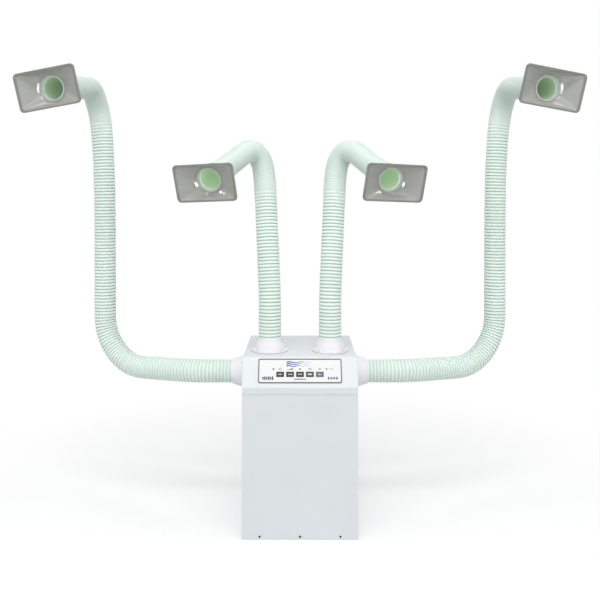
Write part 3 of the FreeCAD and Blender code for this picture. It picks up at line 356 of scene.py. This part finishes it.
finishes = {
    "cabinet_paint": powder_coated_steel(),
    "collar_plastic": moulded_white_abs("collar_abs", "EEECF1", "E9E8ED", 2.0),
    # painted shade: the cuff's white ABS is coloured grey green
    "cuff_plastic": moulded_white_abs("cuff_abs", "C6D1C8", "BCC9BF", 1.5),
    "hose_pvc": ribbed_hose_pvc(),
    "fascia_film": label_film(),
    "fascia_border": printed_ink("border_vinyl", "383333", "464141"),
    "key_brown": soft_key_rubber("brown_grey_silicone", "32292A", "403735"),
    "key_blue": soft_key_rubber("blue_grey_silicone", "4F5C69", "5D6A77"),
    "led_lens": lamp_lens(),
    "black_plastic": glass_filled_nylon(),
    "seal_rubber": seal_foam(),
    "galvanised": galvanised_steel(),
    "black_screw": turned_metal("blackened_steel", "232325", "333336", 0.38),
    "steel_screw": turned_metal("zinc_plated_steel", "B4B7BA", "D0D2D4", 0.22),
    "brass": turned_metal("turned_brass", "B08D4A", "CDAA62", 0.25),
    "motor_aluminium": cast_aluminium(),
    "board_laminate": circuit_laminate(),
    "filter_board": filter_frame_board(),
    "carbon": carbon_granules(),
    "filter_fleece": filter_cloth("polyester_fleece", "D5DADF", "ECEFF2", 3),
    "filter_paper": filter_cloth("glass_fibre_paper", "DDDCD4", "EFEEE8", 1.2),
}
axes = {joint["name"]: Vector(joint["axis"]) for joint in frame["record"]["behaviour"]["joints"]}
for subpart in frame["record"]["subparts"]:
    name = subpart["node"]
    skin = nodes[name].data.materials
    skin.clear()
    if subpart["material_slot"] == "hood_plastic":
        facing = nodes[name].matrix_world.to_3x3().inverted() @ axes[name + "_turn"]
        mouth = max(facing.dot(corner.co) for corner in nodes[name].data.vertices)
        skin.append(smoke_grey_hood_abs(name + "_smoke_abs", facing, mouth))
    else:
        skin.append(finishes[subpart["material_slot"]])


def piece(name, mesh, body):
    """Finished mesh as a piece that rides on a body, where one is given."""
    made = bpy.data.objects.new(name, mesh)
    scene.collection.objects.link(made)
    if body:
        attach(made, body)
    return made


# Hoses: a ribbed wall along a smooth line that its control points steer

HOSE_RADIUS = 0.042
RIB_HEIGHT = 0.0032
HOSE_WALL = 0.0012
LINE_STEPS = 48         # straight steps between two control points
RINGS = 8               # rings of corners to a rib
SIDES = 38              # corners to a ring
CREST_AT = 0.45         # where on a rib its crest lies
GROOVE_POWER = 2.7      # the higher, the narrower the groove
FADE_RIBS = 6           # ribs before the first fine one over which the grooves get shallower
FINE_DEPTH = 0.35       # depth of a fine groove, as a share of a full one
SHADE_RIBS = 8           # fine ribs over which painted shade grows on the wall
SHADE_RAMP = 16          # ribs over which a level run's painted shade turns into an upright run's
LEVEL_GROOVE = 0.45     # painted shade of a groove on a level run, as a share of an upright run's
LEVEL_SHADE = 0.16       # painted shade laid evenly over a level run, crests included
SLEEVE_START = 1.5      # ribs from the end at which the lining's painted green turns into the painted white glow of its end
SLEEVE_FULL = 0.9       # ribs from the end at which that painted glow is all white
# strength of the painted white glow at the lining's end
SLEEVE_GLOW = 0.3


def ribbed_wall_tree():
    """Nodes that turn a line into a corrugated tube with an inner and an outer skin."""
    tree = bpy.data.node_groups.new("ribbed_wall", "GeometryNodeTree")
    for name, kind in (("Line", "Geometry"), ("Ribs", "Int"), ("Fine From", "Int"),
                       ("Dusty From", "Int"), ("Radius", "Float"), ("Rib Height", "Float"),
                       ("Wall", "Float"), ("Tint", "Float"), ("Glow", "Float"),
                       ("Finish", "Material")):
        tree.interface.new_socket(name, in_out="INPUT", socket_type="NodeSocket" + kind)
    tree.interface.new_socket("Tube", in_out="OUTPUT", socket_type="NodeSocketGeometry")
    given = add(tree, "NodeGroupInput").outputs

    count = add(tree, "ShaderNodeMath", {0: given["Ribs"], 1: RINGS, 2: 1},
                operation="MULTIPLY_ADD").outputs[0]
    line = add(tree, "GeometryNodeResampleCurve", {"Curve": given["Line"], "Count": count}).outputs[0]
    # one rib: a broad domed crest between narrow grooves, and from the first fine rib two for one
    step = add(tree, "GeometryNodeInputIndex").outputs[0]
    turn = add(tree, "ShaderNodeMath", {0: step, 1: RINGS}, operation="DIVIDE").outputs[0]
    fine = add(tree, "ShaderNodeMath", {0: turn, 1: given["Fine From"]},
               operation="GREATER_THAN").outputs[0]
    often = add(tree, "ShaderNodeMath", {0: fine, 1: 1}, operation="ADD").outputs[0]
    count_on = add(tree, "ShaderNodeMath", {0: turn, 1: often}, operation="MULTIPLY").outputs[0]
    phase = add(tree, "ShaderNodeMath", {0: count_on}, operation="FRACT").outputs[0]
    off = add(tree, "ShaderNodeMath", {0: phase, 1: CREST_AT}, operation="SUBTRACT").outputs[0]
    away = add(tree, "ShaderNodeMath", {0: off}, operation="ABSOLUTE").outputs[0]
    share = add(tree, "ShaderNodeMath", {0: away, 1: CREST_AT}, operation="DIVIDE").outputs[0]
    dip = add(tree, "ShaderNodeMath", {0: share, 1: GROOVE_POWER}, operation="POWER",
              use_clamp=True).outputs[0]
    # towards the elbow the grooves get shallower and the wall gets a grey green painted shade
    early = add(tree, "ShaderNodeMath", {0: given["Fine From"], 1: FADE_RIBS},
                operation="SUBTRACT").outputs[0]
    late = add(tree, "ShaderNodeMath", {0: given["Fine From"], 1: SHADE_RIBS},
               operation="ADD").outputs[0]
    depth = add(tree, "ShaderNodeMapRange",
                {"Value": turn, "From Min": early, "From Max": given["Fine From"],
                 "To Min": 1.0, "To Max": FINE_DEPTH}).outputs["Result"]
    groove = add(tree, "ShaderNodeMath", {0: dip, 1: depth}, operation="MULTIPLY").outputs[0]
    # painted shade that grows towards the elbow
    tint = add(tree, "ShaderNodeMapRange",
               {"Value": turn, "From Min": early, "From Max": late,
                "To Max": given["Tint"]}).outputs["Result"]
    # upright runs get painted shade in their grooves, while a level run gets a fainter, even painted
    # shade
    dusty_to = add(tree, "ShaderNodeMath", {0: given["Dusty From"], 1: SHADE_RAMP},
                   operation="ADD").outputs[0]
    upright_share = add(tree, "ShaderNodeMapRange",
                {"Value": turn, "From Min": given["Dusty From"],
                 "From Max": dusty_to}).outputs["Result"]
    level = add(tree, "ShaderNodeMath", {0: groove, 1: LEVEL_GROOVE, 2: LEVEL_SHADE},
                operation="MULTIPLY_ADD").outputs[0]
    run_shade = add(tree, "ShaderNodeMix", {"Factor": upright_share, "A": level, "B": groove}).outputs["Result"]
    shade = add(tree, "ShaderNodeMath", {0: run_shade, 1: tint}, operation="ADD",
                use_clamp=True).outputs[0]
    marked = add(tree, "GeometryNodeStoreNamedAttribute",
                 {"Geometry": line, "Name": "groove", "Value": shade}, data_type="FLOAT").outputs[0]
    # painted light: the lining gets a painted green colour and glow, and its end a painted white glow
    left = add(tree, "ShaderNodeMath", {0: given["Ribs"], 1: turn}, operation="SUBTRACT").outputs[0]
    painted_lining = add(tree, "ShaderNodeMapRange",
                {"Value": left, "From Min": SLEEVE_FULL,
                 "From Max": SLEEVE_START}).outputs["Result"]
    lined = add(tree, "GeometryNodeStoreNamedAttribute",
                {"Geometry": marked, "Name": "inside", "Value": painted_lining}, data_type="FLOAT").outputs[0]
    shine = add(tree, "ShaderNodeMix",
                {"Factor": painted_lining, "A": SLEEVE_GLOW, "B": given["Glow"]}).outputs["Result"]
    lit = add(tree, "GeometryNodeStoreNamedAttribute",
              {"Geometry": lined, "Name": "glow", "Value": shine}, data_type="FLOAT").outputs[0]
    # both skins, the inner one turned to face inwards
    sunk = add(tree, "ShaderNodeMath", {0: groove, 1: given["Rib Height"]},
               operation="MULTIPLY").outputs[0]
    outer = add(tree, "ShaderNodeMath", {0: given["Radius"], 1: sunk},
                operation="SUBTRACT").outputs[0]
    inner = add(tree, "ShaderNodeMath", {0: outer, 1: given["Wall"]},
                operation="SUBTRACT").outputs[0]
    ring = add(tree, "GeometryNodeCurvePrimitiveCircle", {"Resolution": SIDES, "Radius": 1.0})
    skins = []
    for radius, start in ((outer, marked), (inner, lit)):
        skin = add(tree, "GeometryNodeCurveToMesh",
                   {"Curve": start, "Profile Curve": ring.outputs[0], "Scale": radius})
        skins.append(skin.outputs[0])
    skins[1] = add(tree, "GeometryNodeFlipFaces", {"Mesh": skins[1]}).outputs[0]
    joined = add(tree, "GeometryNodeJoinGeometry")
    for skin in skins:
        tree.links.new(skin, joined.inputs[0])
    smooth = add(tree, "GeometryNodeSetShadeSmooth", {"Geometry": joined.outputs[0]})
    real = add(tree, "GeometryNodeRealizeInstances", {"Geometry": smooth.outputs[0]})
    dressed = add(tree, "GeometryNodeSetMaterial",
                  {"Geometry": real.outputs[0], "Material": given["Finish"]})
    add(tree, "NodeGroupOutput", {"Tube": dressed.outputs[0]})
    return tree


# Control points of each line from its collar's socket floor: outward, back and up, in millimetres
OUTER_LINE = [
    (0, 0, 0), (30, 0, 0), (173, 0, 0), (309, 73, -9), (453, 150, -18), (555, 204, 92),
    (555, 204, 251), (556, 204, 661), (566, 204, 880), (580, 204, 985), (592, 150, 1062),
    (598, 78, 1053), (613.6, -120.9, 1019.4), (622, -189.5, 1008.1),
]
INNER_LINE = [
    (0, 0, 0), (0, 0, 85), (0, 0, 173), (4, 12, 259), (17, 52, 530), (24, 68, 640), (38, 68, 692),
    (64, 46, 719), (94, 18, 711), (120, -10, 686), (163, -53, 646), (183, -123, 623),
    (197.8, -175.2, 605.7),
]
# Each kind of arm: the socket's floor, its line, where the elbow starts and ends, how many ribs it
# has, the first fine one and the first with the upright runs' painted shade, the painted shade beyond
# the elbow and the lining's painted glow
ARMS = {
    "outer": {
        "socket": (217.3, -54, 539), "line": OUTER_LINE,
        "elbow": ((786.9, 150, 1518.4), (802.3, 58.2, 1596.9)),
        "ribs": 158, "fine": 119, "run_shade": 38, "tint": 0.5, "glow": 0.085,
    },
    "inner": {
        "socket": (110.5, -54, 632.3), "line": INNER_LINE,
        "elbow": ((131.3, 12.1, 1276), (213, -46.2, 1333.8)),
        "ribs": 83, "fine": 46, "run_shade": -SHADE_RAMP, "tint": 0.36, "glow": 0.21,
    },
}
ribbed_wall = ribbed_wall_tree()


def smooth_line(name, points):
    """Open spline with these control points."""
    curve = bpy.data.curves.new(name, "CURVE")
    curve.dimensions = "3D"
    curve.resolution_u = LINE_STEPS
    spline = curve.splines.new("NURBS")
    spline.points.add(len(points) - 1)
    for point, at in zip(spline.points, points):
        point.co = (*at, 1)
    spline.order_u = 3
    spline.use_endpoint_u = True
    made = bpy.data.objects.new(name, curve)
    scene.collection.objects.link(made)
    return made


def grown(holder, tree, **inputs):
    """Plain mesh that a node tree makes on an object, which is then removed."""
    modifier = holder.modifiers.new("grow", "NODES")
    modifier.node_group = tree
    for item in tree.interface.items_tree:
        if item.in_out == "INPUT" and item.name.replace(" ", "_") in inputs:
            modifier[item.identifier] = inputs[item.name.replace(" ", "_")]
    graph = bpy.context.evaluated_depsgraph_get()
    mesh = bpy.data.meshes.new_from_object(holder.evaluated_get(graph))
    bpy.data.objects.remove(holder)
    return mesh


def close_ends(mesh, ends):
    """Join the inner and the outer skin of a tube at its two ends."""
    reach = 1.5 * HOSE_RADIUS
    work = bmesh.new()
    work.from_mesh(mesh)
    rims = [edge for edge in work.edges if edge.is_boundary]
    for end in ends:
        near = [edge for edge in rims if (edge.verts[0].co - end).length < reach]
        bmesh.ops.bridge_loops(work, edges=near)
    work.to_mesh(mesh)
    work.free()


for kind, arm in ARMS.items():
    socket = Vector(arm["socket"])
    for word, side in (("left", -1), ("right", 1)):
        name = f"{kind}_{word}"
        flip = Vector((side, 1, 1))
        points = [(socket + Vector(at)) * flip * MM for at in arm["line"]]
        holder = smooth_line(name + "_line", points)
        mesh = grown(holder, ribbed_wall, Ribs=arm["ribs"], Fine_From=arm["fine"],
                     Dusty_From=arm["run_shade"], Radius=HOSE_RADIUS, Rib_Height=RIB_HEIGHT,
                     Wall=HOSE_WALL, Tint=arm["tint"], Glow=arm["glow"],
                     Finish=finishes["hose_pvc"])
        close_ends(mesh, (points[0], points[-1]))
        hose = piece(name + "_ribbed_hose", mesh, None)
        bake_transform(hose)
        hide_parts(name + "_hose")

# Print on the control panel, in generic marks: places across and up its slope, in millimetres

# the slope's middle, in metres, and its own directions
SLOPE_MIDDLE = Vector((0, -0.191, 0.5685))
SLOPE_ACROSS = Vector((1, 0, 0))
SLOPE_UP = Vector((0, 0.5609, 0.8279))
SLOPE_OUT = Vector((0, -0.8279, 0.5609))
# how far the film and the keys stand out, and how far ink goes into them and out of them
FILM_TOP = 1.2
KEY_TOP = 2.0
INK_ROOT = 0.05
INK_RISE = 0.08
KEY_PLACES = {"key_power": -68.8, "key_speed_down": -34.4, "key_speed_up": 0, "key_timer": 34.4,
              "key_filter_reset": 68.8}
KEY_LINE = -8.7
ICON_LINE = 10.5
MARK_LINE = -22.5
ARC_STEPS = 14
STREAM_STEPS = 24
STREAM_WAVES = 3        # half waves along a line of air
STREAM_THINS = 0.7      # share of its width that it loses by its end


def bar(x, v, width, height):
    """Outline of a small upright rectangle about a place."""
    return [(x - width / 2, v - height / 2), (x + width / 2, v - height / 2),
            (x + width / 2, v + height / 2), (x - width / 2, v + height / 2)]


def arc(x, v, radius, width, start, end):
    """Outline of part of a ring, from one angle to another in degrees."""
    turns = [math.radians(start + (end - start) * i / ARC_STEPS) for i in range(ARC_STEPS + 1)]
    wide = radius + width / 2
    narrow = radius - width / 2
    edge = [(x + wide * math.cos(t), v + wide * math.sin(t)) for t in turns]
    back = [(x + narrow * math.cos(t), v + narrow * math.sin(t)) for t in turns]
    return edge + back[::-1]


def stream(x, v, length, height, width):
    """Outline of one wavy line of moving air that thins towards its end."""
    edge = []
    back = []
    for i in range(STREAM_STEPS + 1):
        share = i / STREAM_STEPS
        at = x + length * share
        mid = v + height * math.sin(share * STREAM_WAVES * math.pi)
        half = width / 2 * (1 - STREAM_THINS * share)
        edge.append((at, mid - half))
        back.append((at, mid + half))
    return edge + back[::-1]


def pointer(x, v, width, height):
    """Outline of a triangle that points right, or left where its width is negative."""
    return [(x - width / 2, v - height / 2), (x + width / 2, v), (x - width / 2, v + height / 2)]


def printed(name, outlines, top, body, ink):
    """Ink in closed outlines, a hair proud of the face below it."""
    work = bmesh.new()
    root = SLOPE_OUT * (top - INK_ROOT)
    rise = SLOPE_OUT * (INK_ROOT + INK_RISE) * MM
    for outline in outlines:
        below = []
        above = []
        for x, v in outline:
            at = SLOPE_MIDDLE + (SLOPE_ACROSS * x + SLOPE_UP * v + root) * MM
            below.append(work.verts.new(at))
            above.append(work.verts.new(at + rise))
        work.faces.new(below)
        work.faces.new(above)
        for i in range(len(outline)):
            work.faces.new((below[i - 1], below[i], above[i], above[i - 1]))
    bmesh.ops.recalc_face_normals(work, faces=work.faces)
    mesh = bpy.data.meshes.new(name)
    work.to_mesh(mesh)
    work.free()
    mesh.materials.append(ink)
    piece(name, mesh, body)


grey_ink = printed_ink("grey_ink", "24262A", "323438")
navy_ink = printed_ink("navy_ink", "1B1E56", "262A62")
blue_ink = printed_ink("blue_ink", "25499A", "3156A6")
pale_ink = printed_ink("pale_blue_ink", "9DB7DB", "ABC3E2")
light_ink = printed_ink("light_ink", "E4DAD8", "EFE7E5")

at = KEY_PLACES["key_power"]
power = [arc(at, ICON_LINE, 4, 1.3, 125, 415), bar(at, ICON_LINE + 3.2, 1.3, 4.4)]
at = KEY_PLACES["key_speed_down"] - 8.6
steps = [bar(at + 4.3 * i, ICON_LINE - 3 + 0.75 * i, 2.6, 2 + 1.5 * i) for i in range(5)]
at = KEY_PLACES["key_timer"]
clock = [arc(at, ICON_LINE, 4.2, 1.3, 0, 180), arc(at, ICON_LINE, 4.2, 1.3, 180, 360),
         bar(at, ICON_LINE + 1.2, 0.9, 2.6), bar(at + 1, ICON_LINE, 2.6, 0.9)]
at = KEY_PLACES["key_filter_reset"] - 3.2
pleats = [bar(at + 2.1 * i, ICON_LINE, 1, 6) for i in range(4)]
scale = [bar(101 + 4 * i, ICON_LINE, 2.6, 1.6) for i in range(5)]
printed("panel_icons", power + steps + clock + pleats + scale, FILM_TOP, "cabinet", grey_ink)

near_air = [stream(-47, 35, 62, 2, 5), stream(-47, 28, 56, 2, 5), stream(-47, 21, 50, 2, 5)]
far_air = [stream(19, 35, 24, -1.6, 3), stream(13, 28, 24, -1.6, 3), stream(7, 21, 24, -1.6, 3)]
left_bars = [bar(-128 + 6.6 * i, MARK_LINE, 4.8, 9 + 4 * (i % 2)) for i in range(6)]
right_arrows = [pointer(101 + 9.4 * i, MARK_LINE, 8, 13) for i in range(4)]
middle_bars = [bar(-18 + 4 * i, -26, 3, 4.5) for i in range(10)]
printed("panel_air_near", near_air, FILM_TOP, "cabinet", blue_ink)
printed("panel_air_far", far_air, FILM_TOP, "cabinet", pale_ink)
printed("panel_left_mark", left_bars, FILM_TOP, "cabinet", navy_ink)
printed("panel_right_mark", right_arrows, FILM_TOP, "cabinet", blue_ink)
printed("panel_middle_mark", middle_bars, FILM_TOP, "cabinet", blue_ink)

# Each key's mark, from the middle of the key
key_marks = {
    "key_power": lambda x, v: [arc(x, v, 2.6, 1.1, 125, 415), bar(x, v + 2, 1.1, 3),
                               bar(x - 6, v, 4, 2), bar(x + 6, v, 4, 2)],
    "key_speed_down": lambda x, v: [pointer(x - 4.5, v, -6, 6), pointer(x + 3.5, v, -6, 6)],
    "key_speed_up": lambda x, v: [pointer(x - 3.5, v, 6, 6), pointer(x + 4.5, v, 6, 6)],
    "key_timer": lambda x, v: [bar(x + 4 * i - 6, v, 3, 5.6) for i in range(4)],
    "key_filter_reset": lambda x, v: [arc(x, v, 2.8, 1.3, 60, 360), bar(x - 6.4, v, 3, 2),
                                      bar(x + 6.4, v, 3, 2)],
}
for key, marks in key_marks.items():
    printed(key + "_mark", marks(KEY_PLACES[key], KEY_LINE), KEY_TOP, key, light_ink)

# Studio: a pale floor that fades into a white backdrop, and soft light

FLOOR_SIZE = 40
FLOOR_DROP = 0.0005     # so that the base and the floor don't share a face
FLOOR_LIFT = 0.25       # light that the camera alone sees, so that the floor is nearly white
FADE_START = 0.6        # the floor fades to white between these distances
FADE_END = 1.8
ROOM_FRONT = 1.05       # the room's light in front, behind, and what it loses to the sides
ROOM_BACK = 0.57
ROOM_SIDES = -0.45

floor_finish, tree, shader, place = surface("studio_floor", Roughness=0.9)
speck = add(tree, "ShaderNodeTexNoise",
            {"Vector": place, "Scale": per_mm(400), "Detail": 2}).outputs["Fac"]
dress(tree, shader, tones=(speck, "E6E7E7", "EAEBEB"))
rays = add(tree, "ShaderNodeLightPath").outputs
lift = add(tree, "ShaderNodeMath", {0: rays["Is Camera Ray"], 1: FLOOR_LIFT}, operation="MULTIPLY")
shader.inputs["Emission Color"].default_value = (1, 1, 1, 1)
tree.links.new(lift.outputs[0], shader.inputs["Emission Strength"])
away = add(tree, "ShaderNodeVectorMath", {0: place}, operation="LENGTH")
fade = add(tree, "ShaderNodeMapRange",
           {"Value": away.outputs["Value"], "From Min": FADE_START, "From Max": FADE_END},
           interpolation_type="SMOOTHSTEP")
seen = add(tree, "ShaderNodeMath", {0: fade.outputs["Result"], 1: rays["Is Camera Ray"]},
           operation="MULTIPLY")
white = add(tree, "ShaderNodeEmission", {"Color": (1, 1, 1, 1), "Strength": 1.0})
both = add(tree, "ShaderNodeMixShader",
           {0: seen.outputs[0], 1: shader.outputs[0], 2: white.outputs[0]})
tree.links.new(both.outputs[0], tree.nodes["Material Output"].inputs["Surface"])
bpy.ops.mesh.primitive_plane_add(size=FLOOR_SIZE, location=(0, 0, -FLOOR_DROP))
floor = bpy.context.object
floor.name = "studio_floor"
floor.data.materials.append(floor_finish)

world = bpy.data.worlds.new("studio")
scene.world = world
world.use_nodes = True
tree = world.node_tree
rays = add(tree, "ShaderNodeLightPath").outputs
seen = add(tree, "ShaderNodeMath", {0: rays["Is Camera Ray"], 1: rays["Is Glossy Ray"]},
           operation="MAXIMUM")
shown = add(tree, "ShaderNodeMath", {0: seen.outputs[0], 1: rays["Is Transmission Ray"]},
            operation="MAXIMUM")
# the room is bright in front and dimmer behind and beside, so that round edges turn darker
way = add(tree, "ShaderNodeTexCoord").outputs["Generated"]
parts = add(tree, "ShaderNodeSeparateXYZ", {"Vector": way}).outputs
room = add(tree, "ShaderNodeMapRange",
           {"Value": parts["Y"], "From Min": -1.0, "To Min": ROOM_FRONT, "To Max": ROOM_BACK})
beside = add(tree, "ShaderNodeMath", {0: parts["X"]}, operation="ABSOLUTE")
dim = add(tree, "ShaderNodeMath",
          {0: beside.outputs[0], 1: ROOM_SIDES, 2: room.outputs["Result"]}, operation="MULTIPLY_ADD")
level = add(tree, "ShaderNodeMix", {"Factor": shown.outputs[0], "A": dim.outputs[0], "B": 1.0})
tree.links.new(level.outputs["Result"], tree.nodes["Background"].inputs["Strength"])
tree.nodes["Background"].inputs["Color"].default_value = (1, 1, 1, 1)


def soft_box(name, place, aim, width, height, watts):
    """Oblong soft light that looks at a point."""
    lamp = bpy.data.objects.new(name, bpy.data.lights.new(name, "AREA"))
    lamp.data.shape = "RECTANGLE"
    lamp.data.size = width
    lamp.data.size_y = height
    lamp.data.energy = watts
    lamp.location = place
    lamp.rotation_euler = (Vector(aim) - Vector(place)).to_track_quat("-Z", "Y").to_euler()
    scene.collection.objects.link(lamp)
    return lamp


soft_box("front_light", (0, -3.2, 2.72), (0, 0, 1.0), 0.5, 1.9, 8)
soft_box("top_light", (0, -1.5, 3.1), (0, 0, 0.9), 2.4, 0.4, 23)
soft_box("lid_light", (0, 0.1, 2.7), (0, 0.05, 0), 0.5, 0.5, 3)
for side in (-1, 1):
    soft_box("side_light", (side * 3.2, -0.6, 2.2), (0, 0, 1.2), 0.11, 1.1, 8)
    soft_box("corner_light", (side * 3.2, -3.4, 1.4), (0, 0, 1.2), 0.18, 1.8, 11)

# Cards that only show as highlights in the glossy hoods. For the left ones: place, hood, width,
# height and watts
hoods = bpy.data.collections.new("hoods")
for name in ("outer_left_hood", "inner_left_hood", "outer_right_hood", "inner_right_hood"):
    hoods.objects.link(nodes[name])
OUTER_HOOD = (-0.84, -0.25, 1.55)
INNER_HOOD = (-0.31, -0.235, 1.236)
CARDS = [
    ((0.94, -1.55, 1.43), OUTER_HOOD, 0.3, 2.2, 25),
    ((0.73, -1.44, 0.92), INNER_HOOD, 0.3, 1.35, 16),
    ((-0.2, -0.25, 3.4), OUTER_HOOD, 0.4, 0.4, 6),
    ((-2.2, 0.6, 2.7), OUTER_HOOD, 0.5, 0.5, 10),
]
for place, hood, width, height, watts in CARDS:
    for side in (-1, 1):
        flip = Vector((-side, 1, 1))
        card = soft_box("hood_card", Vector(place) * flip, Vector(hood) * flip, width, height, watts)
        card.visible_diffuse = False
        card.visible_camera = False
        card.light_linking.receiver_collection = hoods
